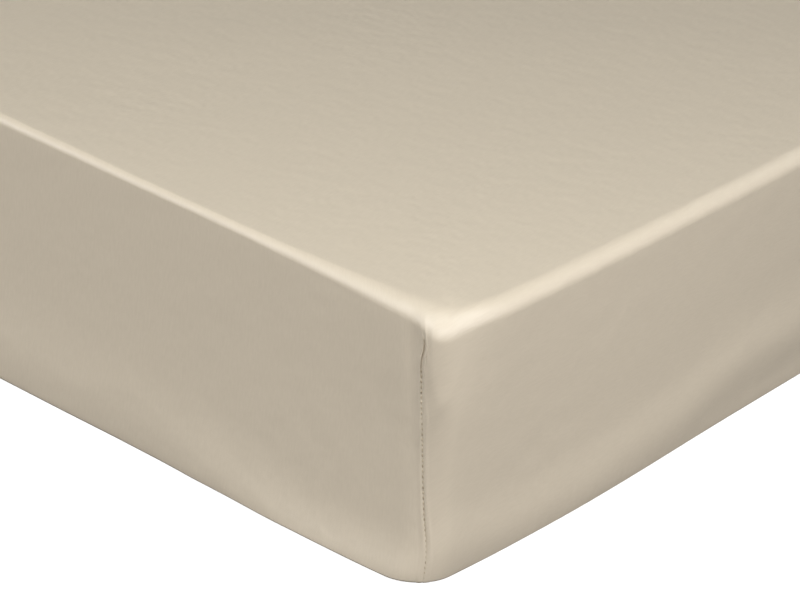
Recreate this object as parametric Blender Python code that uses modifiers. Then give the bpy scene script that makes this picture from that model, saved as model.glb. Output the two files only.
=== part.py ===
"""Fitted sheet on a single mattress.

A satin sheet is stretched over the top and the four sides of a foam
mattress, turns under it and ends in a hem.  Each corner is sewn up from
the hem to the top edge.  Metres, +Z up; the origin is the middle of the
footprint, on the surface that the mattress lies on.  The foot end faces
-Y, and each corner is described by its distances from the two side
planes that meet there.
"""

import math
from collections import namedtuple

import bmesh
import bpy

# Overall size, outside of the cloth
WIDTH = 0.900
LENGTH = 1.900
DEPTH = 0.200

# Cloth, and how it lies on the mattress
CLOTH = 0.002                # thickness of the sheet
CLEARANCE = 0.0006           # cloth to mattress on the flats
EDGE_EASE = 0.005            # extra rounding that parts the mattress from the cloth at its edges
SKIRT = 0.280                # cloth from the top's edge, down the side and under, to the hem

# Rounding
CORNER_RADIUS = 0.026        # in plan
CORNER_SPREAD = 0.30         # growth of that radius for each metre further in on the top
ROLL_AT_CORNER = 0.024       # top edge, at the corner
ROLL_REACH = 0.030           # how far along the edge the corner's softer rolling is felt
ROLL_BLEND = 0.012           # over which the end's rolling passes into the side's
ROLL_BUILD_UP = 0.250        # over which an edge gets rounder towards its corners
TURN_RADIUS = 0.008          # bottom edge, where the skirt turns under

# Slack and tension
PULL_REACH = 0.250           # over which the tight corners draw the edges in
BULGE = 0.0025               # how far the sides swell out at half height
CROWN = 0.0020               # fall of the top towards its edges
CROWN_REACH = 0.120
CORNER_DIP = 0.0030          # extra fall of the top at a corner
CORNER_DIP_REACH = 0.070

# Corner seam
SEAM_DEPTH = 0.0012
SEAM_HALF_WIDTH = 0.0040
DIMPLE_DEPTH = 0.0022        # hollow beside the top of the seam, on the end panel
DIMPLE_OFFSET = 0.0090
DIMPLE_WIDTH = 0.0080
DIMPLE_DROP = 0.030          # below the top
DIMPLE_HEIGHT = 0.022
PRESS = 1.4                  # how much larger that hollow is in the mattress
LIP_HEIGHT = 0.0012          # narrow fold of spare cloth, on the side panel
LIP_OFFSET = 0.0030
LIP_WIDTH = 0.0020
LIP_DROP = 0.032
LIP_LENGTH = 0.018

# Surface finishes, linear colour and roughness
SATIN_COLOUR = (0.50, 0.44, 0.35)
SATIN_ROUGHNESS = 0.42
TICKING_COLOUR = (0.80, 0.79, 0.76)
TICKING_ROUGHNESS = 0.85
SHARP_ANGLE = math.radians(50.0)

# One row for each kind of edge: rounding of the top edge halfway along and near its corners
Edge = namedtuple("Edge", "roll_middle roll_near")
END_EDGE = Edge(roll_middle=0.007, roll_near=0.011)
SIDE_EDGE = Edge(roll_middle=0.018, roll_near=0.018)

# One row for each corner, counter-clockwise from above: where it is, how far its seam
# stands towards the side panel at the top and at the base, and how far the end edge and
# the side edge are drawn in, at the top and at the base
Corner = namedtuple("Corner", "x y seam_top seam_base end_top end_base side_top side_base")
CORNERS = (
    Corner(1, -1, -0.0236, 0.0027, 0.0042, 0.0006, 0.0072, 0.0087),
    Corner(1, 1, -0.0060, 0.0020, 0.0052, 0.0020, 0.0060, 0.0070),
    Corner(-1, 1, -0.0110, -0.0010, 0.0040, 0.0015, 0.0068, 0.0080),
    Corner(-1, -1, 0.0050, 0.0010, 0.0048, 0.0024, 0.0056, 0.0076),
)

# Stations around the sheet: distances from the seam at each corner, and the number of
# stations between the corners on an end and on a side
SEAM_STATIONS = (0.0, 0.0025, 0.007, 0.013, 0.021, 0.034, 0.060, 0.100, 0.160, 0.250)
END_STATIONS = 1
SIDE_STATIONS = 5

# Levels from hem to crown: zone of the section and share of that zone
Level = namedtuple("Level", "zone share")
UNDER_LEVELS = (
    Level("under", 0.0),
    Level("under", 0.6),
)
BODY_LEVELS = (
    Level("turn", 0.0),
    Level("turn", 0.35),
    Level("turn", 0.7),
    Level("side", 0.0),
    Level("side", 0.15),
    Level("side", 0.32),
    Level("side", 0.50),
    Level("side", 0.66),
    Level("side", 0.80),
    Level("side", 0.91),
    Level("roll", 0.0),
    Level("roll", 0.25),
    Level("roll", 0.5),
    Level("roll", 0.75),
    Level("roll", 1.0),
    Level("top", 0.06),
    Level("top", 0.18),
    Level("top", 0.38),
    Level("top", 1.0),
)
TOP_REACH = 0.300            # how far in from the side planes the last ring of the top lies
SEAM_END = 0.75              # share of the top edge's rolling at which the seam ends


def fade(distance, reach):
    """Fall smoothly from one at no distance to nought at the reach."""
    return max(0.0, 1.0 - distance / reach) ** 2


def hump(offset, width):
    """Bell of height one."""
    return math.exp(-((offset / width) ** 2))


def roll_radius(offset):
    """Rounding of the top edge, from the way along the outline from a corner's middle."""
    build_up = fade(abs(offset), ROLL_BUILD_UP)
    end = END_EDGE.roll_middle + (END_EDGE.roll_near - END_EDGE.roll_middle) * build_up
    side = SIDE_EDGE.roll_middle + (SIDE_EDGE.roll_near - SIDE_EDGE.roll_middle) * build_up
    edge = end + (side - end) * (1.0 + math.tanh(offset / ROLL_BLEND)) / 2.0
    return edge + (ROLL_AT_CORNER - edge) * hump(offset, ROLL_REACH)


def cut_off(radius):
    """Cloth saved where it rounds a corner of a section instead of following it square."""
    return (2.0 - math.pi / 2.0) * radius


def section_point(level, roll, depth, ease):
    """Distance in from the side plane, and height, of a level of a section.

    roll is the rounding of the top edge, depth is how far the section lies under the
    outside of the cloth, and ease is added to its rounding.
    """
    turn = TURN_RADIUS - depth + ease
    top = roll - depth + ease
    ceiling = DEPTH - depth
    quarter = level.share * math.pi / 2.0
    if level.zone == "under":
        hem = SKIRT - DEPTH + cut_off(roll) + cut_off(TURN_RADIUS)
        return hem + (depth + turn + BULGE - hem) * level.share, depth
    if level.zone == "top":
        start = depth + top + BULGE
        return start + (TOP_REACH - start) * level.share, ceiling
    if level.zone == "turn":
        inset = depth + turn * (1.0 - math.sin(quarter))
        height = depth + turn * (1.0 - math.cos(quarter))
    elif level.zone == "roll":
        inset = depth + top * (1.0 - math.cos(quarter))
        height = ceiling - top * (1.0 - math.sin(quarter))
    else:
        inset = depth
        height = depth + turn + (ceiling - top - depth - turn) * level.share
    return inset + BULGE * (1.0 - math.sin(math.pi * height / DEPTH)), height


def corner_place(offset, radius):
    """Distances from the side plane and the end plane of a point on a rounded corner.

    offset is the way along the outline from the middle of the corner, positive towards
    the side panel.
    """
    half_arc = radius * math.pi / 4.0
    if offset < -half_arc:
        return radius - half_arc - offset, 0.0
    if offset > half_arc:
        return 0.0, radius - half_arc + offset
    angle = (offset / half_arc + 1.0) * math.pi / 4.0
    return radius * (1.0 - math.sin(angle)), radius * (1.0 - math.cos(angle))


def dimple(from_seam, height, size):
    """Depth of the hollow beside the top of a corner seam; size enlarges it all round."""
    across = hump(from_seam + DIMPLE_OFFSET, DIMPLE_WIDTH * size)
    along = hump(DEPTH - DIMPLE_DROP - height, DIMPLE_HEIGHT * size)
    return DIMPLE_DEPTH * size * across * along


def seam_relief(from_seam, level, height):
    """Outward displacement of the cloth near a corner seam."""
    groove = SEAM_DEPTH * max(0.0, 1.0 - abs(from_seam) / SEAM_HALF_WIDTH)
    if level.zone == "roll":
        groove *= max(0.0, 1.0 - level.share / SEAM_END)
    lip = LIP_HEIGHT * hump(from_seam - LIP_OFFSET, LIP_WIDTH)
    lip *= hump(DEPTH - LIP_DROP - height, LIP_LENGTH)
    return lip - groove - dimple(from_seam, height, 1.0)


def drawn_in(corner, from_side, from_end, height):
    """How far a tight corner draws the side edge and the end edge in."""
    rise = height / DEPTH
    strength = fade(from_side, PULL_REACH) * fade(from_end, PULL_REACH)
    side = corner.side_base + (corner.side_top - corner.side_base) * rise
    end = corner.end_base + (corner.end_top - corner.end_base) * rise
    return side * strength, end * strength


def corner_point(corner, station, level, depth, ease):
    """Place of one point of a ring, at a station counted from a corner's seam.

    depth and ease are those of the section: both are nought on the outside of the cloth.
    """
    stays = max(0.0, 1.0 - abs(station) / SEAM_STATIONS[-1])
    roll = roll_radius(station + corner.seam_top * stays)
    inset, height = section_point(level, roll, depth, ease)
    lean = corner.seam_base + (corner.seam_top - corner.seam_base) * height / DEPTH
    shrink = 1.0 - inset / (WIDTH / 2.0)
    radius = CORNER_RADIUS - depth + ease + CORNER_SPREAD * (inset - depth)
    along_end, along_side = corner_place((station + lean * stays) * shrink, radius)
    relief = 0.0
    if level.zone in ("turn", "side", "roll"):
        in_cloth = depth == 0.0
        relief = seam_relief(station, level, height) if in_cloth else -dimple(station, height, PRESS)
    from_side = along_end + inset - relief
    from_end = along_side + inset - relief
    if level.zone in ("roll", "top"):
        height -= CROWN * fade(min(from_side, from_end), CROWN_REACH)
        height -= CORNER_DIP * fade(max(from_side, from_end), CORNER_DIP_REACH)
    side_pull, end_pull = drawn_in(corner, from_side, from_end, height)
    x = corner.x * (WIDTH / 2.0 - from_side - side_pull)
    y = corner.y * (LENGTH / 2.0 - from_end - end_pull)
    return x, y, height


def ring(level, depth, ease):
    """All points of one level, counter-clockwise from above."""
    stations = [-value for value in reversed(SEAM_STATIONS[1:])] + list(SEAM_STATIONS)
    rows = []
    for corner in CORNERS:
        ends_at_side = corner.x * corner.y < 0
        order = stations if ends_at_side else stations[::-1]
        rows.append([corner_point(corner, station, level, depth, ease) for station in order])
    points = []
    for index, row in enumerate(rows):
        points += row
        following = rows[(index + 1) % len(rows)]
        count = SIDE_STATIONS if index % 2 == 0 else END_STATIONS
        for step in range(1, count + 1):
            share = step / (count + 1)
            points.append(tuple(a + (b - a) * share for a, b in zip(row[-1], following[0])))
    return points


def loft(name, levels, depth, ease, closed_base):
    """Skin the rings of the levels, cap the top, and cap the base if it is closed."""
    mesh = bpy.data.meshes.new(name)
    work = bmesh.new()
    rings = []
    for level in levels:
        rings.append([work.verts.new(point) for point in ring(level, depth, ease)])
    for lower, upper in zip(rings, rings[1:]):
        for index in range(len(lower)):
            after = (index + 1) % len(lower)
            work.faces.new((lower[index], lower[after], upper[after], upper[index]))
    work.faces.new(rings[-1])
    if closed_base:
        work.faces.new(rings[0][::-1])
    work.normal_update()
    work.to_mesh(mesh)
    work.free()
    mesh.shade_smooth()
    mesh.set_sharp_from_angle(angle=SHARP_ANGLE)
    return bpy.data.objects.new(name, mesh)


def finish(name, colour, roughness):
    """Plain surface finish."""
    material = bpy.data.materials.new(name)
    material.use_nodes = True
    shader = material.node_tree.nodes["Principled BSDF"]
    shader.inputs["Base Color"].default_value = (*colour, 1.0)
    shader.inputs["Roughness"].default_value = roughness
    shader.inputs["Metallic"].default_value = 0.0
    return material


def make_sheet():
    """The sheet: an open skin of cloth, thickened inwards."""
    sheet = loft("fitted_sheet", UNDER_LEVELS + BODY_LEVELS, 0.0, 0.0, closed_base=False)
    thickness = sheet.modifiers.new("cloth", "SOLIDIFY")
    thickness.thickness = CLOTH
    thickness.offset = -1.0
    thickness.use_even_offset = True
    sheet.data.materials.append(finish("beige satin", SATIN_COLOUR, SATIN_ROUGHNESS))
    return sheet


def make_mattress():
    """The mattress: a plain rounded block under the cloth."""
    mattress = loft("mattress", BODY_LEVELS, CLOTH + CLEARANCE, EDGE_EASE, closed_base=True)
    mattress.data.materials.append(finish("white ticking", TICKING_COLOUR, TICKING_ROUGHNESS))
    return mattress


def main():
    """Clear the scene and build the pieces in their own collection."""
    for old in list(bpy.data.objects):
        bpy.data.objects.remove(old)
    parts = bpy.data.collections.new("fitted sheet on mattress")
    bpy.context.scene.collection.children.link(parts)
    for piece in (make_sheet(), make_mattress()):
        parts.objects.link(piece)


main()
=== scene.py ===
"""Looks of a satin fitted sheet that is stretched over a single mattress.

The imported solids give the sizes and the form.  The cloth is one finely divided skin on that form,
with its hem, corner seams, pleats and creases.  The thread of the seams and of the hem lies on it,
and the mattress fills it.  Metres, +Z up; the foot end faces -Y.
"""

import logging
import math
from dataclasses import dataclass
from enum import Enum
from typing import Any, Optional, Sequence

import bmesh
import bpy
import numpy as np
from bmesh.types import BMesh, BMVert
from bpy.types import Material, Mesh, Node, NodeSocket, NodeTree, Object
from mathutils import Matrix, Vector


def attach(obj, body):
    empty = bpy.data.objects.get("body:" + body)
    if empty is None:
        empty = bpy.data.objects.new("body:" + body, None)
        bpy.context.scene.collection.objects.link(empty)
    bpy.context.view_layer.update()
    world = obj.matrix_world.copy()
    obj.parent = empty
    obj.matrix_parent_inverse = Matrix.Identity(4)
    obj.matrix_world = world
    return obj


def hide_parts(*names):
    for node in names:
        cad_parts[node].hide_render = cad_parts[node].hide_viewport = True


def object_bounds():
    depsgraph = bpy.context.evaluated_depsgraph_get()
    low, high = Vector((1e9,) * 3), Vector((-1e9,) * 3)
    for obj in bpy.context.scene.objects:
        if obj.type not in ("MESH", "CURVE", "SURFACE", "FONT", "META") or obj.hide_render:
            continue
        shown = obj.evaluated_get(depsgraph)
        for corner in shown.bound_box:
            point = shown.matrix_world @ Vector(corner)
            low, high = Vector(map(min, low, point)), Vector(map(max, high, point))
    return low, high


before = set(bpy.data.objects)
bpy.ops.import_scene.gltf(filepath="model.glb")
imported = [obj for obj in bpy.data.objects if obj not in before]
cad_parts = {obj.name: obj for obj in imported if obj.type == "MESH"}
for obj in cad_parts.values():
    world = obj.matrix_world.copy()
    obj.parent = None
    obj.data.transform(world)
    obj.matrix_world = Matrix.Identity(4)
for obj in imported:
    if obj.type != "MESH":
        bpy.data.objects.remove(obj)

CAD_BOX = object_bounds()
PHOTO_WIDTH = 800
MM = 0.001
LOG = logging.getLogger("fitted_sheet")
Pair = tuple[float, float]  # two values of one kind, or a place on a flat
Triple = tuple[float, float, float]


# ---- Small helpers ----

def fade(distance: float, reach: float) -> float:
    """Return a value that falls smoothly from one at no distance to nought at the reach."""
    return max(0.0, 1.0 - distance / reach) ** 2


def hump(offset: float, width: float) -> float:
    """Return a bell of height one."""
    return math.exp(-((offset / width) ** 2))


def ease_in(value: float, start: float, finish: float) -> float:
    """Return a smooth step from nought at start to one at finish."""
    share = min(1.0, max(0.0, (value - start) / (finish - start)))
    return share * share * (3.0 - 2.0 * share)


def between(ends: Pair, share: float) -> float:
    """Return the value at a share of the way from one end to the other."""
    return ends[0] + (ends[1] - ends[0]) * share


def towards(azimuth: float, elevation: float) -> Vector:
    """Return the direction at degrees to the right of the foot end and above the horizon."""
    turn, rise = math.radians(azimuth), math.radians(elevation)
    return Vector((math.sin(turn) * math.cos(rise), -math.cos(turn) * math.cos(rise), math.sin(rise)))


def show(name: str, data: bpy.types.ID) -> Object:
    """Return a new object in the scene that shows a mesh, a light or a camera."""
    shown = bpy.data.objects.new(name, data)
    bpy.context.scene.collection.objects.link(shown)
    return shown


def linear(colour: str) -> tuple[float, float, float, float]:
    """Turn an sRGB hex colour into linear light.

    Args:
        colour: Six hex digits after a hash sign.

    Returns:
        Red, green, blue and alpha.
    """
    channels = []
    for start in (1, 3, 5):
        value = int(colour[start:start + 2], 16) / 255.0
        channels.append(value / 12.92 if value <= 0.04045 else ((value + 0.055) / 1.055) ** 2.4)
    return (channels[0], channels[1], channels[2], 1.0)


def add_node(tree: NodeTree, kind: str, settings: Optional[dict[str, Any]] = None,
             inputs: Optional[dict[Any, Any]] = None) -> Node:
    """Add a node with its settings and links.

    Args:
        tree: Node tree that the node goes into.
        kind: Blender's name for the type of node.
        settings: Values of the node's own properties, by name.
        inputs: Value, or output socket to link, of each of its inputs, by name or number.

    Returns:
        The new node.
    """
    node = tree.nodes.new(kind)
    for name, value in (settings or {}).items():
        setattr(node, name, value)
    for key, value in (inputs or {}).items():
        if isinstance(value, NodeSocket):
            tree.links.new(value, node.inputs[key])
        else:
            node.inputs[key].default_value = value
    return node


# ---- Finishes ----

@dataclass(frozen=True)
class Finish:
    """What all finishes share: one principled shader, whose inputs each finish gives."""

    def inputs(self, tree: NodeTree) -> dict[str, Any]:
        """Return the shader's inputs, by name."""
        raise NotImplementedError

    def material(self, name: str) -> Material:
        """Make the material.

        Args:
            name: What the real material is.

        Returns:
            The material.
        """
        material = bpy.data.materials.new(name)
        material.use_nodes = True
        tree = material.node_tree
        tree.nodes.clear()
        shader = add_node(tree, "ShaderNodeBsdfPrincipled", inputs=self.inputs(tree))
        add_node(tree, "ShaderNodeOutputMaterial", inputs={"Surface": shader.outputs["BSDF"]})
        return material


@dataclass(frozen=True)
class SateenFinish(Finish):
    """Cotton sateen: long floats of combed warp thread, woven tight and calendered.

    The floats lie side by side, so the cloth has a broad, pearly gloss along its folds over a
    matt warm beige, and thick places in the thread show as faint short streaks.
    """

    colour: str = "#C2B6A4"
    dark_streak: str = "#BAAE9C"
    roughness: float = 0.34
    refraction: float = 1.54  # cellulose fibre
    specular: float = 0.6
    sheen: float = 0.10  # loose fibre ends
    sheen_roughness: float = 0.35
    thread_mm: float = 0.9  # really 0.2 mm, which is too fine to show
    gap: float = 0.18  # between two floats, as a share of a thread
    float_mm: float = 4.5  # five threads long, as in a five-end sateen
    slub_mm: Pair = (1.6, 9.0)  # size of a thick place, across the thread and along it
    slack_mm: float = 22.0  # soft unevenness of the cloth between its creases
    thread_height_mm: float = 0.012
    slub_height_mm: float = 0.090
    slack_height_mm: float = 0.55

    def inputs(self, tree: NodeTree) -> dict[str, Any]:
        """Lay the weave, the slubs and the slack of the cloth along the flat cloth in the UV map.

        Args:
            tree: Node tree of the material.

        Returns:
            The shader's inputs, by name.
        """
        cloth = add_node(tree, "ShaderNodeUVMap", {"uv_map": "flat_cloth"})
        streak_scale = tuple(1.0 / (size * MM) for size in self.slub_mm)
        streaks = add_node(tree, "ShaderNodeVectorMath", {"operation": "MULTIPLY"},
                           {0: cloth.outputs["UV"], 1: (*streak_scale, 1.0)})
        slub = add_node(tree, "ShaderNodeTexNoise", {"noise_dimensions": "2D"},
                        {"Vector": streaks.outputs[0], "Scale": 1.0, "Detail": 3.0, "Roughness": 0.6})
        floats = add_node(tree, "ShaderNodeTexBrick", {"offset": 0.5},
                          {"Vector": cloth.outputs["UV"], "Scale": 1.0, "Mortar Smooth": 1.0,
                           "Color1": (1, 1, 1, 1), "Color2": (1, 1, 1, 1), "Mortar": (0, 0, 0, 1),
                           "Mortar Size": self.gap * self.thread_mm * MM,
                           "Brick Width": self.float_mm * MM, "Row Height": self.thread_mm * MM})
        slack = add_node(tree, "ShaderNodeTexNoise", {"noise_dimensions": "2D"},
                         {"Vector": cloth.outputs["UV"], "Scale": 1.0 / (self.slack_mm * MM),
                          "Detail": 2.0, "Roughness": 0.5})
        colour = add_node(tree, "ShaderNodeMix", {"data_type": "RGBA"},
                          {0: slub.outputs["Fac"], 6: linear(self.colour), 7: linear(self.dark_streak)})
        loose = add_node(tree, "ShaderNodeBump", None,
                         {"Height": slack.outputs["Fac"], "Distance": self.slack_height_mm * MM})
        uneven = add_node(tree, "ShaderNodeBump", None,
                          {"Height": slub.outputs["Fac"], "Distance": self.slub_height_mm * MM,
                           "Normal": loose.outputs["Normal"]})
        woven = add_node(tree, "ShaderNodeBump", None,
                         {"Height": floats.outputs["Color"], "Distance": self.thread_height_mm * MM,
                          "Normal": uneven.outputs["Normal"]})
        return {"Base Color": colour.outputs[2], "Normal": woven.outputs["Normal"],
                "Roughness": self.roughness, "IOR": self.refraction, "Specular IOR Level": self.specular,
                "Sheen Weight": self.sheen, "Sheen Roughness": self.sheen_roughness}


DIAGONAL_BANDS = 10.0 * math.sqrt(3.0)  # radians a metre of a wave texture's diagonal, at scale one


@dataclass(frozen=True)
class ThreadFinish(Finish):
    """Spun polyester sewing thread, twisted from two plies: a fine slanting twist, low gloss."""

    # the thread's own beige, darkened below the cloth's to paint in the shade of the groove that the
    # stitches sink into
    colour: str = "#B0A38D"
    # painted shade: the furrows between the two plies are coloured darker
    furrow: str = "#988B76"
    roughness: float = 0.55
    refraction: float = 1.58  # polyester
    twist_mm: float = 3.628  # really 0.25 mm; drawn as about one turn a stitch
    twist_height_mm: float = 0.05

    def inputs(self, tree: NodeTree) -> dict[str, Any]:
        """Wind the two plies as slanting bands, with painted shade in the furrows between them.

        Args:
            tree: Node tree of the material.

        Returns:
            The shader's inputs, by name.
        """
        scale = 2.0 * math.pi / (DIAGONAL_BANDS * self.twist_mm * MM)
        place = add_node(tree, "ShaderNodeTexCoord")
        twist = add_node(tree, "ShaderNodeTexWave", {"bands_direction": "DIAGONAL"},
                         {"Vector": place.outputs["Object"], "Scale": scale, "Distortion": 0.6,
                          "Detail": 1.0})
        # painted shade in the furrows of the twist, darker where the bands dip
        colour = add_node(tree, "ShaderNodeMix", {"data_type": "RGBA"},
                          {0: twist.outputs["Fac"], 6: linear(self.furrow), 7: linear(self.colour)})
        relief = add_node(tree, "ShaderNodeBump", None,
                          {"Height": twist.outputs["Fac"], "Distance": self.twist_height_mm * MM})
        return {"Base Color": colour.outputs[2], "Normal": relief.outputs["Normal"],
                "Roughness": self.roughness, "IOR": self.refraction}


@dataclass(frozen=True)
class TickingFinish(Finish):
    """Cotton ticking: a plain off-white herringbone twill, matt, with its ribs just showing."""

    colour: str = "#E6E3DB"
    # painted shade: the furrows between the ribs are coloured darker
    furrow: str = "#D3CFC4"
    roughness: float = 0.85
    refraction: float = 1.54  # cellulose fibre
    rib_mm: float = 2.4  # really 1.2 mm, drawn coarser so that it shows
    stripe_mm: float = 14.0  # width of one stripe of the herringbone
    rib_height_mm: float = 0.15

    def inputs(self, tree: NodeTree) -> dict[str, Any]:
        """Lay the ribs of the herringbone along the UV map of the cover, with painted shade in their
        furrows.

        Args:
            tree: Node tree of the material.

        Returns:
            The shader's inputs, by name.
        """
        cloth = add_node(tree, "ShaderNodeUVMap", {"uv_map": "flat_cloth"})
        parts = add_node(tree, "ShaderNodeSeparateXYZ", None, {0: cloth.outputs["UV"]})
        zigzag = add_node(tree, "ShaderNodeMath", {"operation": "PINGPONG"},
                          {0: parts.outputs["X"], 1: self.stripe_mm * MM})
        slope = add_node(tree, "ShaderNodeMath", {"operation": "ADD"},
                         {0: parts.outputs["Y"], 1: zigzag.outputs[0]})
        angle = add_node(tree, "ShaderNodeMath", {"operation": "MULTIPLY"},
                         {0: slope.outputs[0], 1: 2.0 * math.pi / (self.rib_mm * MM)})
        rib = add_node(tree, "ShaderNodeMath", {"operation": "SINE"}, {0: angle.outputs[0]})
        height = add_node(tree, "ShaderNodeMapRange", None,
                          {"Value": rib.outputs[0], "From Min": -1.0, "From Max": 1.0})
        # painted shade in the rib furrows, darker where the relief is low
        colour = add_node(tree, "ShaderNodeMix", {"data_type": "RGBA"},
                          {0: height.outputs["Result"], 6: linear(self.furrow), 7: linear(self.colour)})
        relief = add_node(tree, "ShaderNodeBump", None,
                          {"Height": height.outputs["Result"], "Distance": self.rib_height_mm * MM})
        return {"Base Color": colour.outputs[2], "Normal": relief.outputs["Normal"],
                "Roughness": self.roughness, "IOR": self.refraction}


@dataclass(frozen=True)
class LightTableFinish(Finish):
    """Opal acrylic of the light table and the wall, cast and matt, lit from behind: an even white."""

    colour: str = "#F7F7F5"
    cloud: str = "#FAFAF8"  # where the acrylic is a little whiter
    roughness: float = 0.6
    glow: float = 0.9

    def inputs(self, tree: NodeTree) -> dict[str, Any]:
        """Cloud the acrylic, hardly visibly.

        Args:
            tree: Node tree of the material.

        Returns:
            The shader's inputs, by name.
        """
        place = add_node(tree, "ShaderNodeTexCoord")
        cloud = add_node(tree, "ShaderNodeTexNoise", None,
                         {"Vector": place.outputs["Object"], "Scale": 0.8, "Detail": 1.0})
        even = add_node(tree, "ShaderNodeMix", {"data_type": "RGBA"},
                        {0: cloud.outputs["Fac"], 6: linear(self.colour), 7: linear(self.cloud)})
        return {"Base Color": even.outputs[2], "Roughness": self.roughness,
                "Emission Color": linear(self.colour), "Emission Strength": self.glow}


# ---- Form of the stretched cloth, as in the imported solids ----

class Zone(Enum):
    """Stretches of the cloth from its hem to the middle of the top."""

    UNDER = "under the mattress"
    TURN = "bottom edge"
    SIDE = "side"
    ROLL = "top edge"
    TOP = "top"


class Panel(Enum):
    """Faces of the bed, each with the direction that it faces."""

    FOOT = (0.0, -1.0, 0.0)
    RIGHT = (1.0, 0.0, 0.0)
    HEAD = (0.0, 1.0, 0.0)
    LEFT = (-1.0, 0.0, 0.0)
    TOP = (0.0, 0.0, 1.0)


@dataclass(frozen=True)
class Level:
    """A height in the section: a zone, and a share of the way through it."""

    zone: Zone
    share: float


@dataclass(frozen=True)
class Corner:
    """A corner; each pair is a distance at its base and one at its top."""

    x: int
    y: int
    seam: Pair  # offset of the seam towards the side panel
    end_pull: Pair  # how far the end panel is drawn in
    side_pull: Pair  # how far the side panel is drawn in
    wander: float  # how far the pleat pushes the top of the seam aside
    growth: float  # how fast the mesh gets coarser away from the seam


CORNERS = (
    Corner(1, -1, (0.0034, -0.0212), (0.0040, 0.0027), (0.0097, 0.0052), 0.0036, 1.07),
    Corner(1, 1, (0.0020, -0.0060), (0.0020, 0.0032), (0.0070, 0.0040), 0.0020, 1.14),
    Corner(-1, 1, (-0.0010, -0.0110), (0.0015, 0.0020), (0.0080, 0.0048), 0.0026, 1.14),
    Corner(-1, -1, (0.0010, 0.0050), (0.0024, 0.0028), (0.0076, 0.0036), 0.0030, 1.12),
)


@dataclass(frozen=True)
class Bump:
    """A swelling, or a hollow if it is taken off, beside a seam; all distances in metres."""

    height: float
    offset: float  # of its middle from the seam, positive towards the side
    width: float
    drop: float  # of its middle below the top
    length: float

    def at(self, station: float, drop: float, size: float = 1.0) -> float:
        """Return its height at a place beside the seam; size enlarges it all round."""
        across = hump(station - self.offset, self.width * size)
        return self.height * size * across * hump(drop - self.drop, self.length * size)


@dataclass(frozen=True)
class Depth:
    """How far a skin lies under the outside of the cloth, and what is added to its rounding."""

    under: float
    ease: float


OUTSIDE = Depth(0.0, 0.0)
INSIDE = Depth(0.0020, 0.0)  # the sheet is 2 mm thick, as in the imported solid
FILLING = Depth(0.0026, 0.0050)  # the mattress, just inside the sheet and rounder at its edges


@dataclass(frozen=True)
class Column:
    """A strip of faces between two stations, and the flat cloth's places at its two sides."""

    on_end: bool
    start: float
    finish: float


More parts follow.
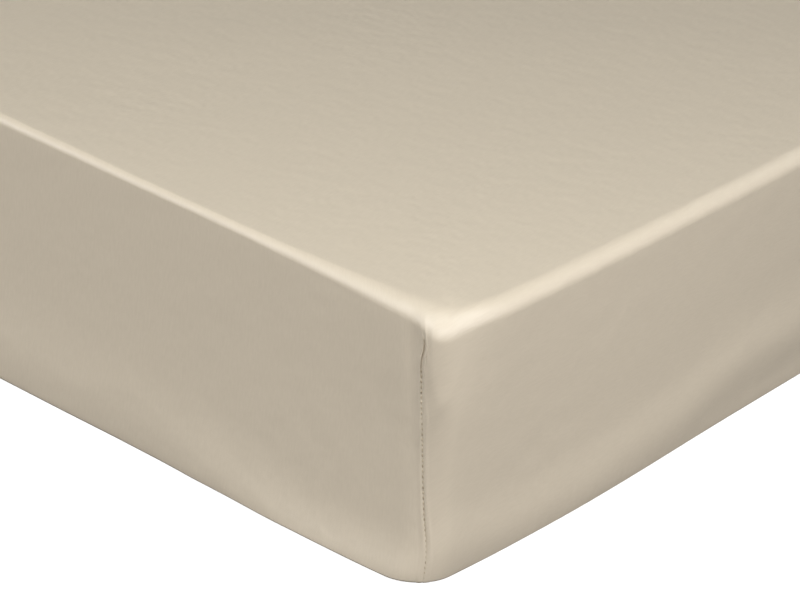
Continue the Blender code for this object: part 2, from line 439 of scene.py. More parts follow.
@dataclass
class BedForm:
    """The form that the mattress gives the cloth, with its tight corners and soft edges."""

    width: float = CAD_BOX[1].x - CAD_BOX[0].x
    length: float = CAD_BOX[1].y - CAD_BOX[0].y
    depth: float = CAD_BOX[1].z - CAD_BOX[0].z
    skirt: float = 0.280
    corner_radius: Pair = (0.026, 0.009)  # at the base and at the top
    corner_spread: float = 0.20  # what the corners gain in radius with each metre inwards
    roll_at_corner: float = 0.015  # rounding of the top edge at a corner
    roll_reach: float = 0.020
    roll_blend: float = 0.012
    roll_build_up: float = 0.250
    end_roll: Pair = (0.005, 0.015)  # halfway along, near the corners
    side_roll: Pair = (0.011, 0.013)
    turn_radius: float = 0.004
    pull_reach: float = 0.250
    tuck: float = 0.014  # how far the pleat draws in the top of the side panel
    tuck_reach: float = 0.070
    edge_in: float = 0.0042  # how far the base and the top edge lie inside the side planes
    hollow: Pair = (0.0032, 0.0010)  # of the skirt, halfway up an end and a side
    crown: float = 0.0012
    crown_reach: float = 0.120
    corner_dip: float = 0.0060
    corner_dip_reach: float = 0.045
    dimple: Bump = Bump(0.0022, -0.0090, 0.0080, 0.030, 0.022)  # hollow beside the top of a seam
    press: float = 1.4  # how much larger it is on the inside and on the mattress
    furrow: float = 0.0004  # of the hem, and where it lies in the cloth under the mattress
    furrow_share: float = 0.135
    seam_reach: float = 0.250
    wander_drop: float = 0.021  # below the top, where the pleat pushes the seam most
    wander_height: float = 0.009
    wander_reach: float = 0.016
    fine_step: float = 0.0003  # mesh beside a seam
    fine_steps: int = 8
    room: float = 1.5  # steps that still fit before the last station
    edge_step: float = 0.020  # mesh far from the corners
    top_reach: float = 0.370  # how far in from the side planes the last ring lies

    def side_share(self, offset: float) -> float:
        """Return the share that the side has in the form, from the way round from a corner's middle."""
        return (1.0 + math.tanh(offset / self.roll_blend)) / 2.0

    def roll_radius(self, offset: float) -> float:
        """Find the rounding of the top edge.

        Args:
            offset: Way round from a corner's middle, positive towards the side.

        Returns:
            Radius of the edge there.
        """
        build_up = fade(abs(offset), self.roll_build_up)
        panels = (between(self.end_roll, build_up), between(self.side_roll, build_up))
        edge = between(panels, self.side_share(offset))
        return edge + (self.roll_at_corner - edge) * hump(offset, self.roll_reach)

    def hem_inset(self, roll: float) -> float:
        """Return how far under the mattress the hem lies, where the top edge has that rounding."""
        saved = 2.0 - math.pi / 2.0
        return self.skirt - self.depth + saved * (roll + self.turn_radius)

    def section(self, level: Level, roll: float, hollow: float, skin: Depth) -> Pair:
        """Find a level of the section.

        Args:
            level: Level that is wanted.
            roll: Rounding of the top edge there.
            hollow: Hollow of the skirt there.
            skin: Skin that the section is of.

        Returns:
            Distance in from the side plane, and height.
        """
        turn = self.turn_radius - skin.under + skin.ease
        top = roll - skin.under + skin.ease
        ceiling = self.depth - skin.under
        quarter = level.share * math.pi / 2.0
        if level.zone is Zone.UNDER:
            hem = self.hem_inset(roll)
            edge = skin.under + turn + self.edge_in
            return hem + (edge - hem) * level.share, skin.under
        if level.zone is Zone.TOP:
            start = skin.under + top + self.edge_in
            return start + (self.top_reach - start) * level.share, ceiling
        if level.zone is Zone.TURN:
            inset = skin.under + turn * (1.0 - math.sin(quarter))
            height = skin.under + turn * (1.0 - math.cos(quarter))
        elif level.zone is Zone.ROLL:
            inset = skin.under + top * (1.0 - math.cos(quarter))
            height = ceiling - top * (1.0 - math.sin(quarter))
        else:
            inset = skin.under
            height = skin.under + turn + (ceiling - top - skin.under - turn) * level.share
        return inset + self.edge_in + hollow * math.sin(math.pi * height / self.depth), height

    def around(self, offset: float, radius: float) -> Pair:
        """Find a place on the rounded outline of a corner.

        Args:
            offset: Way along the outline from the corner's middle, positive towards the side.
            radius: Radius of the corner.

        Returns:
            Distances from the side plane and from the end plane.
        """
        half_arc = radius * math.pi / 4.0
        if offset < -half_arc:
            return radius - half_arc - offset, 0.0
        if offset > half_arc:
            return 0.0, radius - half_arc + offset
        angle = (offset / half_arc + 1.0) * math.pi / 4.0
        return radius * (1.0 - math.sin(angle)), radius * (1.0 - math.cos(angle))

    def wander(self, corner: Corner, station: float, drop: float) -> float:
        """Return how far the pleat moves the cloth sideways, at a station beside a seam."""
        near = max(0.0, 1.0 - abs(station) / self.wander_reach)
        return corner.wander * hump(drop - self.wander_drop, self.wander_height) * near

    def place(self, corner: Corner, station: float, level: Level, skin: Depth,
              seam: Optional["SeamShape"] = None) -> Triple:
        """Find one point of a skin.

        Args:
            corner: Corner that the station is counted from.
            station: Way along the cloth from the corner's seam, positive towards the side.
            level: Level of the section.
            skin: Skin that the point is on.
            seam: Fine relief beside the seam, on the outside of the cloth alone.

        Returns:
            Coordinates of the point.
        """
        stays = max(0.0, 1.0 - abs(station) / self.seam_reach)
        around_top = station + corner.seam[1] * stays
        roll = self.roll_radius(around_top)
        hollow = between(self.hollow, self.side_share(around_top))
        inset, height = self.section(level, roll, hollow, skin)
        rise = height / self.depth
        drop = self.depth - height
        radius = between(self.corner_radius, rise) + skin.ease - skin.under
        radius += self.corner_spread * (inset - skin.under)
        shrink = 1.0 - inset / (self.width / 2.0)
        lean = between(corner.seam, rise) * stays
        offset = (station + lean) * shrink + self.wander(corner, station, drop)
        along_end, along_side = self.around(offset, radius)
        relief = 0.0
        if level.zone in (Zone.TURN, Zone.SIDE, Zone.ROLL):
            relief = -self.dimple.at(station, drop, self.press)
            if seam is not None:
                relief = seam.relief(corner, station, drop) - self.dimple.at(station, drop)
        from_side = along_end + inset - relief
        from_end = along_side + inset - relief
        if level.zone in (Zone.SIDE, Zone.ROLL, Zone.TOP):
            settled = self.crown * fade(min(from_side, from_end), self.crown_reach)
            settled += self.corner_dip * fade(max(from_side, from_end), self.corner_dip_reach)
            height -= settled * ease_in(height, self.depth / 2.0, self.depth - roll)
        pulled = fade(from_side, self.pull_reach) * fade(from_end, self.pull_reach)
        tucked = fade(from_side, self.tuck_reach) * fade(from_end, self.tuck_reach)
        from_side += between(corner.side_pull, rise) * pulled + self.tuck * rise ** 2 * tucked
        from_end += between(corner.end_pull, rise) * pulled
        x = corner.x * (self.width / 2.0 - from_side)
        y = corner.y * (self.length / 2.0 - from_end)
        return x, y, height

    def stations(self, growth: float) -> list[float]:
        """List the stations on one side of a seam, in even steps and then in growing ones.

        Args:
            growth: How much longer each step is than the one before.

        Returns:
            Ways along the cloth from the seam.
        """
        found = [self.fine_step * index for index in range(self.fine_steps + 1)]
        step = self.fine_step
        while found[-1] + step * growth * self.room < self.seam_reach:
            step *= growth
            found.append(found[-1] + step)
        return found + [self.seam_reach]

    def corner_order(self, corner: Corner, thin: int) -> list[float]:
        """List a corner's stations counter-clockwise.

        Args:
            corner: Corner that the stations are counted from.
            thin: One in how many stations is kept.

        Returns:
            Signed stations, the seam's among them.
        """
        half = self.stations(corner.growth)
        kept = [value for index, value in enumerate(half) if index % thin == 0 or value == half[-1]]
        both = [-value for value in reversed(kept[1:])] + kept
        return both if corner.x * corner.y < 0 else both[::-1]

    def spans(self) -> list[int]:
        """Return the number of stations between each corner and the next."""
        between_corners = (self.length - 2.0 * self.seam_reach, self.width - 2.0 * self.seam_reach)
        return [int(span / self.edge_step) for span in between_corners * 2]

    def ring(self, level: Level, skin: Depth, seam: Optional["SeamShape"] = None,
             thin: int = 1) -> list[Triple]:
        """Find all points of one level, counter-clockwise from above.

        Args:
            level: Level of the section.
            skin: Skin that the ring is on.
            seam: Fine relief beside the seams.
            thin: One in how many stations is kept.

        Returns:
            Coordinates of the points.
        """
        rows = [[self.place(corner, station, level, skin, seam)
                 for station in self.corner_order(corner, thin)] for corner in CORNERS]
        points = []
        for index, (row, count) in enumerate(zip(rows, self.spans())):
            points += row
            following = rows[(index + 1) % len(rows)][0]
            steps = max(1, count // thin)
            for step in range(1, steps):
                share = step / steps
                points.append(tuple(a + (b - a) * share for a, b in zip(row[-1], following)))
        return points

    def columns(self, thin: int = 1) -> list[Column]:
        """Find the strip of faces after each point of a ring, in the order of the points.

        Args:
            thin: One in how many stations is kept.

        Returns:
            The strips.
        """
        found = []
        for index, (corner, count) in enumerate(zip(CORNERS, self.spans())):
            order = self.corner_order(corner, thin)
            for start, finish in zip(order, order[1:]):
                on_end = start + finish < 0.0
                half, sign = (self.width, corner.x) if on_end else (self.length, corner.y)
                found.append(Column(on_end, sign * (half / 2.0 - abs(start)),
                                    sign * (half / 2.0 - abs(finish))))
            on_end = index % 2 == 1
            half, sign = (self.width, corner.x) if on_end else (self.length, corner.y)
            first = sign * (half / 2.0 - self.seam_reach)
            steps = max(1, count // thin)
            for step in range(steps):
                found.append(Column(on_end, first * (1.0 - 2.0 * step / steps),
                                    first * (1.0 - 2.0 * (step + 1) / steps)))
        return found

    def seam_frame(self, corner: Corner, height: float, seam: "SeamShape") -> Matrix:
        """Find the place and directions of a seam at a height.

        Args:
            corner: Corner whose seam it is.
            height: Height above the surface that the mattress lies on.
            seam: Fine relief beside the seam.

        Returns:
            Matrix whose X goes across the seam to the side panel, Y up it and Z outwards.
        """
        roll = self.roll_radius(corner.seam[1])
        share = (height - self.turn_radius) / (self.depth - roll - self.turn_radius)
        step_up = 0.01
        step_aside = 3.0 * MM
        here = Level(Zone.SIDE, share)
        middle = Vector(self.place(corner, 0.0, here, OUTSIDE, seam))
        above = Vector(self.place(corner, 0.0, Level(Zone.SIDE, share + step_up), OUTSIDE, seam))
        left = Vector(self.place(corner, -step_aside, here, OUTSIDE))
        right = Vector(self.place(corner, step_aside, here, OUTSIDE))
        across = (right - left).normalized()
        outward = across.cross((above - middle).normalized())
        if outward.dot(Vector((corner.x, corner.y, 0.0))) < 0.0:
            outward = -outward
        outward.normalize()
        upward = outward.cross(across).normalized()
        if upward.z < 0.0:
            upward = -upward
        columns = Matrix((across, upward, outward)).transposed().to_4x4()
        return Matrix.Translation(middle) @ columns


def levels(zone: Zone, count: int, power: float = 1.0) -> list[Level]:
    """List a zone's levels but for its end; a power below one makes the last steps shorter."""
    return [Level(zone, (index / count) ** power) for index in range(count)]


def climb(rows: tuple[int, int, int], top: Sequence[float], power: float = 1.0) -> list[Level]:
    """List the levels above the base, from rows of the bottom edge, the side and the top edge."""
    edges = levels(Zone.TURN, rows[0]) + levels(Zone.SIDE, rows[1], power) + levels(Zone.ROLL, rows[2])
    return edges + [Level(Zone.TOP, share) for share in top]


@dataclass(frozen=True)
class SeamShape:
    """Fine relief of the cloth beside a corner seam; distances in metres, outwards positive."""

    groove_depth: float = 0.0003
    groove_half_width: float = 0.0009
    pleat_groove: Triple = (0.0004, 0.029, 0.010)  # deeper beside the pleat
    base_groove: Triple = (0.0003, 0.135, 0.160)  # and near the floor
    starts: Pair = (0.013, 0.020)  # below the top, where the groove begins
    puff_height: float = 0.00035  # swelling of the turned-in edges on both sides
    puff_offset: float = 0.0022
    puff_width: float = 0.0014
    sliver: Bump = Bump(0.0012, -0.0013, 0.0006, 0.030, 0.010)  # narrow folded edge of the pleat
    lip: Bump = Bump(0.0012, 0.0030, 0.0020, 0.032, 0.018)  # soft fold of spare cloth
    swell: Bump = Bump(0.0006, 0.0095, 0.0050, 0.044, 0.026)  # soft swelling further over
    hollow: Bump = Bump(0.0010, -0.0085, 0.0070, 0.075, 0.040)  # long and shallow, on the end panel

    def groove_at(self, drop: float) -> float:
        """Find the depth of the groove.

        Args:
            drop: Way below the top.

        Returns:
            Depth of the groove there.
        """
        deeper, drop_of_pleat, length = self.pleat_groove
        depth = self.groove_depth + deeper * hump(drop - drop_of_pleat, length)
        deepest, start, finish = self.base_groove
        return depth + deepest * ease_in(drop, start, finish)

    def relief(self, corner: Corner, station: float, drop: float) -> float:
        """Find how far the cloth stands out beside a seam.

        Args:
            corner: Corner whose seam it is.
            station: Way from the seam, positive towards the side panel.
            drop: Way below the top.

        Returns:
            Distance outwards.
        """
        groove = self.groove_at(drop) * max(0.0, 1.0 - abs(station) / self.groove_half_width)
        puff = self.puff_height * (hump(station - self.puff_offset, self.puff_width)
                                   + hump(station + self.puff_offset, self.puff_width))
        pleated = corner.wander / CORNERS[0].wander
        folds = self.sliver.at(station, drop) * pleated + self.lip.at(station, drop)
        folds += self.swell.at(station, drop) - self.hollow.at(station, drop)
        return (puff - groove) * ease_in(drop, *self.starts) + folds


@dataclass(frozen=True)
class Crease:
    """A soft ridge, or a trough if its height is negative, along a path on a panel.

    All in millimetres.  The path's places are counted from the near corner (on the head and left
    panels from the corner opposite) and up from the base; on the top, from the right side and from
    the foot end.
    """

    path: tuple[Pair, ...]
    width: float
    height: float
    taper: float = 0.3  # share of the path over which it rises and fades


CREASES: dict[Panel, tuple[Crease, ...]] = {
    # Foot: the skirt swells low down beside the near corner, and the swelling fades upwards.
    Panel.FOOT: (
        Crease(((-30, -8), (30, -5), (63, -7), (114, -8), (150, 0), (200, 10)), 24, 6.8, 0.45),
        Crease(((150, 10), (223, 18), (279, 28), (334, 20), (400, 28), (520, 24)), 26, 1.7, 0.25),
        Crease(((8, 172), (55, 178)), 45, 2.4, 0.4),
        Crease(((40, 145), (60, 120), (52, 92)), 12, -0.35),
        Crease(((190, 166), (181, 137), (171, 112)), 3.2, 0.16, 0.4),
        Crease(((178, 160), (168, 132)), 3.5, -0.14, 0.4),
        Crease(((134, 158), (129, 122)), 3.2, 0.14, 0.4),
        Crease(((301, 176), (297, 166)), 7, -0.14),
        Crease(((326, 148), (318, 136)), 9, -0.16),
        Crease(((430, 150), (560, 118), (760, 132)), 30, -0.7),
        Crease(((560, 60), (700, 34), (830, 22)), 26, 0.8),
    ),
    # Right: a long swelling that climbs away from the near corner, from 2 cm up to 5 cm.
    Panel.RIGHT: (
        Crease(((-14, 26), (10, 24), (77, 16), (168, 16), (263, 25), (311, 34), (360, 46),
                (440, 48), (600, 52)), 25, 3.3, 0.08),
        Crease(((2, 130), (16, 125)), 22, 2.8, 0.4),
        Crease(((66, 67), (78, 66)), 9, 0.24),
        Crease(((102, 57), (112, 55)), 9, 0.20),
        Crease(((134, 67), (143, 66)), 9, 0.24),
        Crease(((246, 43), (258, 41)), 9, 0.22),
        Crease(((333, 49), (345, 47)), 10, 0.24),
        Crease(((118, 52), (126, 50)), 8, -0.28),
        Crease(((251, 27), (261, 25)), 8, -0.26),
        Crease(((245, 61), (255, 59)), 8, -0.24),
        Crease(((620, 120), (900, 92), (1180, 120)), 34, -0.9),
        Crease(((700, 40), (1000, 26), (1320, 44), (1560, 36)), 26, 1.1),
        Crease(((1480, 150), (1620, 96), (1760, 60)), 24, 0.8),
    ),
    # Head and left: the same soft swellings, at other places.
    Panel.HEAD: (
        Crease(((60, 22), (170, 34), (300, 26), (430, 38)), 25, 1.3, 0.25),
        Crease(((520, 96), (640, 70), (780, 60)), 30, -0.8),
        Crease(((780, 28), (850, 16), (930, 8)), 22, 1.4, 0.25),
    ),
    Panel.LEFT: (
        Crease(((-20, 10), (110, 22), (260, 34), (420, 30)), 25, 1.3, 0.2),
        Crease(((380, 120), (620, 96), (900, 112)), 34, -0.9),
        Crease(((900, 44), (1200, 30), (1480, 48), (1700, 24), (1930, 10)), 26, 1.4, 0.2),
    ),
    # Top: broad, barely visible waves between the near corner and the far ends.
    Panel.TOP: (
        Crease(((230, 0), (430, 0), (700, 0)), 60, 1.6, 0.4),
        Crease(((500, 90), (309, 327), (110, 580)), 42, 0.45),
        Crease(((86, 436), (114, 420)), 18, -0.35),
        Crease(((250, 1050), (440, 1230), (660, 1300)), 50, 0.5),
        Crease(((640, 560), (480, 800), (430, 1010)), 46, -0.4),
        Crease(((300, 1790), (410, 1560), (590, 1480)), 48, 0.5),
    ),
}


CREASE_END = 0.35  # share of its height that a crease keeps at its ends


def panel_places(form: BedForm, panel: Panel, points: np.ndarray) -> np.ndarray:
    """Turn points into places on a panel.

    Args:
        form: Form of the bed.
        panel: Panel that the places are counted on.
        points: Coordinates, one row each.

    Returns:
        Way along the panel and way up it, in millimetres, one row each.
    """
    half_width, half_length = form.width / 2.0, form.length / 2.0
    x, y, z = points.T
    along = {
        Panel.FOOT: half_width - x,
        Panel.RIGHT: half_length + y,
        Panel.HEAD: half_width + x,
        Panel.LEFT: half_length - y,
        Panel.TOP: half_width - x,
    }[panel]
    up = half_length + y if panel is Panel.TOP else z
    return np.column_stack((along, up)) / MM


def crease_share(crease: Crease, places: np.ndarray) -> np.ndarray:
    """Find how much of a crease's height its panel has at some places.

    Args:
        crease: The crease.
        places: Ways along and up the panel, in millimetres, one row each.

    Returns:
        Share of the height at each place.
    """
    path = np.array(crease.path, float)
    ways = np.diff(path, axis=0)
    lengths = np.linalg.norm(ways, axis=1)
    passed = np.concatenate(([0.0], np.cumsum(lengths)))
    nearest = np.full(len(places), np.inf)
    travelled = np.zeros(len(places))
    for start, way, length, before in zip(path, ways, lengths, passed):
        share = np.clip((places - start) @ way / length ** 2, 0.0, 1.0)
        distance = np.linalg.norm(places - start - share[:, None] * way, axis=1)
        closer = distance < nearest
        nearest[closer] = distance[closer]
        travelled[closer] = (before + share[closer] * length) / passed[-1]
    ends = np.clip(np.minimum(travelled, 1.0 - travelled) / crease.taper, 0.0, 1.0)
    faded = CREASE_END + (1.0 - CREASE_END) * ends * ends * (3.0 - 2.0 * ends)
    return np.exp(-(nearest / crease.width) ** 2) * faded


def crease_push(form: BedForm, points: np.ndarray, normals: np.ndarray) -> np.ndarray:
    """Find how far the creases move places on the outside of the cloth.

    Args:
        form: Form of the bed.
        points: Coordinates, one row each.
        normals: Directions that the cloth faces there, one row each.

    Returns:
        Movement of each place.
    """
    push = np.zeros_like(points)
    for panel, creases in CREASES.items():
        direction = np.array(panel.value)
        facing = np.clip(normals @ direction, 0.0, 1.0)
        places = panel_places(form, panel, points)
        for crease in creases:
            share = crease_share(crease, places)
            push += direction * (crease.height * MM * share * facing)[:, None]
    return push


def lay_creases(mesh: Mesh, count: int, form: BedForm) -> None:
    """Raise and lower the outside of the cloth along its creases.

    Args:
        mesh: Mesh of the sheet.
        count: Number of points on its outside, which come first.
        form: Form of the bed.
    """
    points = np.empty(len(mesh.vertices) * 3)
    normals = np.empty(len(mesh.vertices) * 3)
    mesh.vertices.foreach_get("co", points)
    mesh.vertex_normals.foreach_get("vector", normals)
    points = points.reshape(-1, 3)
    points[:count] += crease_push(form, points[:count], normals.reshape(-1, 3)[:count])
    mesh.vertices.foreach_set("co", points.ravel())
    mesh.update()


# ---- Pieces ----

def join(name: str, work: BMesh) -> Object:
    """Turn finished mesh work into an object in the scene.

    Args:
        name: Name of the piece.
        work: The mesh work, which is freed.

    Returns:
        The object.
    """
    mesh = bpy.data.meshes.new(name)
    work.to_mesh(mesh)
    work.free()
    mesh.shade_smooth()
    return show(name, mesh)


def skin_rings(work: BMesh, rings: list[list[BMVert]],
               heights: Sequence[Level], columns: Sequence[Column], inward: bool = False) -> None:
    """Skin rings of points, with the flat cloth's places in the UV map.

    Args:
        work: Mesh work that holds the points.
        rings: Points of each level, the lowest first.
        heights: The levels.
        columns: Strip of faces after each point of a ring.
        inward: Whether the skin faces inwards.
    """
    layer = work.loops.layers.uv.verify()
    count = len(rings[0])
    top_from = sum(level.zone is not Zone.TOP for level in heights)
    last_edge = min(top_from, len(rings) - 1)
    edge = rings[last_edge]
    fallen = [[0.0] * count for _ in rings]
    for row in range(last_edge - 1, -1, -1):
        for index in range(count):
            step = (rings[row][index].co - rings[row + 1][index].co).length
            fallen[row][index] = fallen[row + 1][index] + step
    for row in range(len(rings) - 1):
        for index, column in enumerate(columns):
            after = (index + 1) % count
            corners = [(row, index, column.start), (row, after, column.finish),
                       (row + 1, after, column.finish), (row + 1, index, column.start)]
            if inward:
                corners.reverse()
            face = work.faces.new([rings[level][place] for level, place, _ in corners])
            for loop, (level, place, along) in zip(face.loops, corners):
                spot = edge[place].co
                if row >= top_from:
                    loop[layer].uv = loop.vert.co.x, loop.vert.co.y
                elif column.on_end:
                    loop[layer].uv = along, math.copysign(abs(spot.y) + fallen[level][place], spot.y)
                else:
                    loop[layer].uv = math.copysign(abs(spot.x) + fallen[level][place], spot.x), along


def cap(work: BMesh, ring: list[BMVert], upward: bool) -> None:
    """Close a ring with one flat face.

    Args:
        work: Mesh work that holds the points.
        ring: Points of the ring.
        upward: Whether the face looks up.
    """
    layer = work.loops.layers.uv.verify()
    face = work.faces.new(ring if upward else ring[::-1])
    for loop in face.loops:
        loop[layer].uv = loop.vert.co.x, loop.vert.co.y


def dress_cloth(piece: Object, cloth: Material, sharp: float) -> None:
    """Dress a piece of cloth.

    Args:
        piece: The piece.
        cloth: Material of the cloth.
        sharp: Angle above which an edge isn't rounded, in radians.
    """
    piece.data.uv_layers[0].name = "flat_cloth"
    piece.data.set_sharp_from_angle(angle=sharp)
    piece.data.materials.append(cloth)


@dataclass
class FittedSheet:
    """The sheet: an outside with every fold, a plain inside, and the hem that joins them."""

    form: BedForm
    seam: SeamShape
    finish: SateenFinish
    hem_shares: tuple[float, ...] = (0.0, 0.03, 0.09, 0.12, BedForm.furrow_share, 0.15, 0.18, 0.35,
                                     0.6, 0.85)
    outside_rows: tuple[int, int, int] = (8, 46, 16)  # bottom edge, side, top edge
    outside_power: float = 0.85
    top_rows: int = 22
    top_power: float = 1.6
    inside_rows: tuple[int, int, int] = (3, 12, 4)
    inside_top: tuple[float, ...] = (0.0, 0.1, 0.3, 1.0)
    under_rows: int = 3
    sharp: float = math.radians(60.0)
    name: str = "satin_sheet"

    def outside_levels(self) -> list[Level]:
        """Return the levels of the outside, from the hem up."""
        top = [(row / self.top_rows) ** self.top_power for row in range(self.top_rows + 1)]
        hem = [Level(Zone.UNDER, share) for share in self.hem_shares]
        return hem + climb(self.outside_rows, top, self.outside_power)

    def build(self) -> Object:
        """Build and dress the sheet.

        Returns:
            The sheet.
        """
        work = bmesh.new()
        columns = self.form.columns()
        outer = self.outside_levels()
        outside = [[work.verts.new(point) for point in self.form.ring(level, OUTSIDE, self.seam)]
                   for level in outer]
        for vertex in outside[self.hem_shares.index(self.form.furrow_share)]:
            vertex.co.z += self.form.furrow
        count = len(work.verts)
        inner = levels(Zone.UNDER, self.under_rows) + climb(self.inside_rows, self.inside_top)
        inside = [[work.verts.new(point) for point in self.form.ring(level, INSIDE)] for level in inner]
        skin_rings(work, outside, outer, columns)
        skin_rings(work, inside, inner, columns, inward=True)
        skin_rings(work, [inside[0], outside[0]], [inner[0], outer[0]], columns)
        cap(work, outside[-1], upward=True)
        cap(work, inside[-1], upward=False)
        piece = join(self.name, work)
        lay_creases(piece.data, count, self.form)
        dress_cloth(piece, self.finish.material("beige cotton sateen, woven and calendered"), self.sharp)
        return piece


def grain(segments: tuple[int, int]) -> tuple[list[Vector], list[list[int]]]:
    """Make the form of one stitch: a round grain, one wide and one long.

    Args:
        segments: Divisions of the grain, round it and along it.

    Returns:
        Its points and its faces.
    """
    around, along = segments
    points = [Vector((0.0, 0.0, -0.5))]
    for row in range(1, along):
        tilt = math.pi * row / along
        for place in range(around):
            turn = math.pi / 2.0 + 2.0 * math.pi * place / around
            level = Vector((math.cos(turn), math.sin(turn), 0.0)) * math.sin(tilt)
            points.append((level - Vector((0.0, 0.0, math.cos(tilt)))) / 2.0)
    points.append(Vector((0.0, 0.0, 0.5)))
    faces = []
    for place in range(around):
        after = (place + 1) % around
        faces.append([0, 1 + after, 1 + place])
        for lower in range(1, len(points) - 1 - around, around):
            upper = lower + around
            faces.append([lower + place, lower + after, upper + after, upper + place])
        last = len(points) - 1
        faces.append([last, last - around + place, last - around + after])
    return points, faces


def sew(name: str, places: Sequence[Matrix], segments: tuple[int, int], thread: Material) -> Object:
    """Make a row of stitches.

    Args:
        name: Name of the row.
        places: Place, turn and size of each stitch.
        segments: Divisions of a stitch, round it and along it.
        thread: Material of the thread.

    Returns:
        The row, as one object.
    """
    grain_points, grain_faces = grain(segments)
    points = []
    faces = []
    for place in places:
        mirrored = place.determinant() < 0.0
        for face in grain_faces:
            faces.append([len(points) + index for index in (face[::-1] if mirrored else face)])
        points += [place @ point for point in grain_points]
    mesh = bpy.data.meshes.new(name)
    mesh.from_pydata(points, [], faces)
    mesh.shade_smooth()
    mesh.materials.append(thread)
    return show(name, mesh)


@dataclass
class CornerStitching:
    """Thread of one corner seam: a row of short slanting stitches across its groove."""

    form: BedForm
    seam: SeamShape
    corner: Corner
    number: int
    pitch: float = 0.0039
    lowest: float = 0.006
    highest: float = 0.160
    size: Triple = (0.0010, 0.0026, 0.0010)  # across, along, thickness
    slant: float = math.radians(12.0)
    proud: float = 0.0004  # how far the thread stands above the cloth
    segments: tuple[int, int] = (10, 6)  # round a stitch and along it

    def build(self, thread: Material) -> Object:
        """Build and dress the row of stitches.

        Args:
            thread: Material of the thread.

        Returns:
            The row.
        """
        turned = Matrix.Rotation(self.slant, 4, "Z") @ Matrix.Diagonal((*self.size, 1.0))
        heights = [self.lowest + index * self.pitch
                   for index in range(int((self.highest - self.lowest) / self.pitch) + 1)]
        frames = [self.form.seam_frame(self.corner, height, self.seam) for height in heights]
        push = crease_push(self.form, np.array([there.translation for there in frames]),
                           np.array([there.col[2][:3] for there in frames]))
        places = []
        for height, there, way in zip(heights, frames, push):
            lift = self.seam.groove_at(self.form.depth - height) + self.proud - self.size[2] / 2.0
            raised = Matrix.Translation((0.0, 0.0, lift))
            places.append(Matrix.Translation(way) @ there @ raised @ turned)
        return sew(f"corner_stitches_{self.number}", places, self.segments, thread)


@dataclass
class HemStitching:
    """Thread of the hem: one row of stitches in the furrow under the mattress."""

    form: BedForm
    pitch: float = 0.0039
    size: Triple = (0.0028, 0.0007, 0.0005)  # along, across, thickness
    segments: tuple[int, int] = (6, 4)  # round a stitch and along it
    name: str = "hem_stitches"

    def build(self, thread: Material) -> Object:
        """Build and dress the row of stitches.

        Args:
            thread: Material of the thread.

        Returns:
            The row.
        """
        lift = Vector((0.0, 0.0, self.form.furrow))
        furrow = Level(Zone.UNDER, self.form.furrow_share)
        ring = [Vector(point) + lift for point in self.form.ring(furrow, OUTSIDE)]
        places = []
        carried = 0.0
        for start, finish in zip(ring, ring[1:] + ring[:1]):
            way = finish - start
            heading = Matrix.Rotation(math.atan2(way.y, way.x), 4, "Z")
            turned = heading @ Matrix.Diagonal((*self.size, 1.0))
            along = self.pitch - carried
            while along <= way.length:
                places.append(Matrix.Translation(start + way * (along / way.length)) @ turned)
                along += self.pitch
            carried = way.length - (along - self.pitch)
        return sew(self.name, places, self.segments, thread)


@dataclass
class Mattress:
    """The mattress in its ticking: a plain rounded block that fills the sheet."""

    form: BedForm
    finish: TickingFinish
    thin: int = 3  # one in how many stations of the sheet it has
    rows: tuple[int, int, int] = (6, 14, 8)  # bottom edge, side, top edge
    top: tuple[float, ...] = (0.0, 0.05, 0.12, 0.25, 0.5, 1.0)
    sharp: float = math.radians(60.0)
    name: str = "mattress_block"

    def build(self) -> Object:
        """Build and dress the mattress.

        Returns:
            The mattress.
        """
        work = bmesh.new()
        heights = climb(self.rows, self.top)
        rings = [[work.verts.new(point) for point in self.form.ring(level, FILLING, thin=self.thin)]
                 for level in heights]
        skin_rings(work, rings, heights, self.form.columns(self.thin))
        cap(work, rings[-1], upward=True)
        cap(work, rings[0], upward=False)
        piece = join(self.name, work)
        ticking = self.finish.material("off-white cotton ticking, herringbone twill")
        dress_cloth(piece, ticking, self.sharp)
        return piece


# ---- Studio ----

@dataclass(frozen=True)
class PhotoCamera:
    """A long lens that looks down on the near corner, at the photograph's viewing angle."""

    yaw: float = 35.290  # degrees to the right of the foot end
    pitch: float = 27.297  # degrees above the horizon
    roll: float = 6.653  # degrees that the camera is turned about its line of sight
    focal_pixels: float = 3383.1
    distance: float = 2.1392
    aim: Pair = (-0.02906, 0.10459)  # from the corner, right and up in the view
    sensor: float = 36.0  # millimetres
    sight: float = 100.0  # how far the camera sees

    def build(self, form: BedForm) -> None:
        """Make the camera.

        Args:
            form: Form of the bed, whose near corner the camera is aimed at.
        """
        back = towards(self.yaw, self.pitch)
        roll = math.radians(self.roll)
        level_right = (-back).cross(Vector((0.0, 0.0, 1.0))).normalized()
        level_up = level_right.cross(-back)
        right = math.cos(roll) * level_right + math.sin(roll) * level_up
        up = math.cos(roll) * level_up - math.sin(roll) * level_right
        corner = Vector((form.width / 2.0, -form.length / 2.0, form.depth / 2.0))
        place = corner + self.aim[0] * right + self.aim[1] * up + back * self.distance
        data = bpy.data.cameras.new("photo_camera")
        data.sensor_width = self.sensor
        data.lens = self.focal_pixels * self.sensor / PHOTO_WIDTH
        data.clip_end = self.sight
        camera = show("photo_camera", data)
        camera.matrix_world = Matrix.Translation(place) @ Matrix((right, up, back)).transposed().to_4x4()
        bpy.context.scene.camera = camera


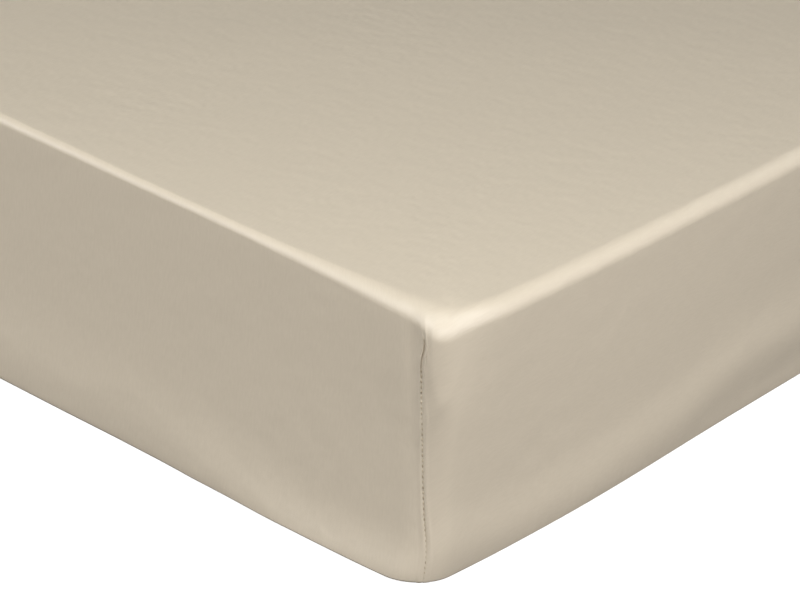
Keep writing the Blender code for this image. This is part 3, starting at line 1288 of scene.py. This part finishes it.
@dataclass(frozen=True)
class Softbox:
    """A soft square light that is aimed at the near corner."""

    name: str
    azimuth: float  # degrees to the right of the foot end
    elevation: float  # degrees above the horizon
    brightness: float
    colour: str = "#FFFFFF"
    distance: float = 2.6
    size: float = 1.3

    def build(self, aim: Vector) -> None:
        """Hang the light.

        Args:
            aim: Place that the light is aimed at.
        """
        away = towards(self.azimuth, self.elevation)
        data = bpy.data.lights.new(self.name, "AREA")
        data.shape = "SQUARE"
        data.size = self.size
        data.energy = self.brightness * math.pi * self.size ** 2
        data.color = linear(self.colour)[:3]
        light = show(self.name, data)
        light.location = aim + away * self.distance
        light.rotation_euler = (-away).to_track_quat("-Z", "Y").to_euler()
        light.visible_camera = False


SOFTBOXES = (
    Softbox("close_overhead", 45, 85, 1.1, "#FAFFFF", distance=0.6, size=0.4),
    Softbox("close_corner", 62, 20, 1.0, distance=0.75, size=0.4),
    Softbox("close_right", 112, 12, 2.0, distance=0.75, size=0.4),
    Softbox("bank_front", 350, 64, 2.3, "#FAFFFF", size=1.5),
    Softbox("bank_right", 115, 62, 2.3, "#FAFFFF", size=1.5),
    Softbox("front", 350, 38, 4.3),
    Softbox("front_right", 50, 38, 3.9),
    Softbox("right", 90, 38, 2.0),
    Softbox("far_right", 115, 38, 2.7),
    Softbox("low_front_left", 315, 12, 3.3),
    Softbox("low_front", 0, 12, 1.9),
    Softbox("low_front_right", 50, 12, 1.6),
    Softbox("low_right", 90, 12, 2.3),
    Softbox("low_far_right", 135, 12, 0.7),
    Softbox("low_back", 180, 8, 2.2),
    Softbox("low_left", 270, 8, 2.2),
    Softbox("edge_left", 312, 45, 1.1, "#F7FFFA", distance=1.0, size=0.4),
    Softbox("edge_right", 148, 31, 0.2, "#F7FFFA", distance=1.1, size=0.45),
)


@dataclass(frozen=True)
class Studio:
    """A light table, a pale wall and soft lights around it, and a dim even background."""

    table: LightTableFinish
    background: str = "#FFFFFF"
    background_strength: float = 0.05
    table_size: float = 40.0
    table_drop: float = 0.0006
    wall_radius: float = 19.0
    wall_height: float = 30.0
    wall_segments: int = 64
    aim_height: float = 0.75  # of the lights' aim at the near corner, as a share of the depth

    def put_up(self, name: str, work: BMesh, finish: Material) -> Object:
        """Put up a surface of the studio.

        The photograph's background is cut out, so the floor gives the cloth no light and no
        reflection, and the wall is seen by the camera alone.

        Args:
            name: Name of the surface.
            work: Its mesh work.
            finish: Its material.

        Returns:
            The surface.
        """
        surface = join(name, work)
        surface.data.materials.append(finish)
        surface.visible_diffuse = False
        surface.visible_glossy = False
        return surface

    def build(self, form: BedForm) -> None:
        """Set up the floor, the wall, the background and the lights.

        Args:
            form: Form of the bed, whose near corner the lights are aimed at.
        """
        acrylic = self.table.material("opal cast acrylic, lit from behind")
        floor = bmesh.new()
        drop = Matrix.Translation((0.0, 0.0, -self.table_drop))
        bmesh.ops.create_grid(floor, x_segments=1, y_segments=1, size=self.table_size / 2.0, matrix=drop)
        self.put_up("light_table", floor, acrylic)
        wall = bmesh.new()
        raised = Matrix.Translation((0.0, 0.0, self.wall_height / 2.0 - self.table_drop))
        bmesh.ops.create_cone(wall, cap_ends=False, segments=self.wall_segments, depth=self.wall_height,
                              radius1=self.wall_radius, radius2=self.wall_radius, matrix=raised)
        self.put_up("studio_wall", wall, acrylic).visible_shadow = False
        world = bpy.data.worlds.new("studio")
        world.use_nodes = True
        world.node_tree.nodes.clear()
        sky = add_node(world.node_tree, "ShaderNodeBackground", None,
                       {"Color": linear(self.background), "Strength": self.background_strength})
        add_node(world.node_tree, "ShaderNodeOutputWorld", None, {"Surface": sky.outputs[0]})
        scene = bpy.context.scene
        scene.world = world
        scene.view_settings.view_transform = "Standard"
        aim = Vector((form.width / 2.0, -form.length / 2.0, self.aim_height * form.depth))
        for softbox in SOFTBOXES:
            softbox.build(aim)


def main() -> None:
    """Build the bed and the studio, and report each piece."""
    logging.basicConfig(level=logging.INFO, format="%(name)s: %(message)s")
    form = BedForm()
    seam = SeamShape()
    sheet = FittedSheet(form, seam, SateenFinish()).build()
    thread = ThreadFinish().material("beige spun polyester thread, two plies twisted")
    rows = [CornerStitching(form, seam, corner, number).build(thread)
            for number, corner in enumerate(CORNERS, start=1)]
    rows.append(HemStitching(form).build(thread))
    block = Mattress(form, TickingFinish()).build()
    for piece in (sheet, *rows, block):
        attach(piece, "root")
        LOG.info("%s: %d faces", piece.name, len(piece.data.polygons))
    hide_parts("fitted_sheet")
    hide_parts("mattress")
    PhotoCamera().build(form)
    Studio(LightTableFinish()).build(form)


if __name__ == "__main__":
    main()
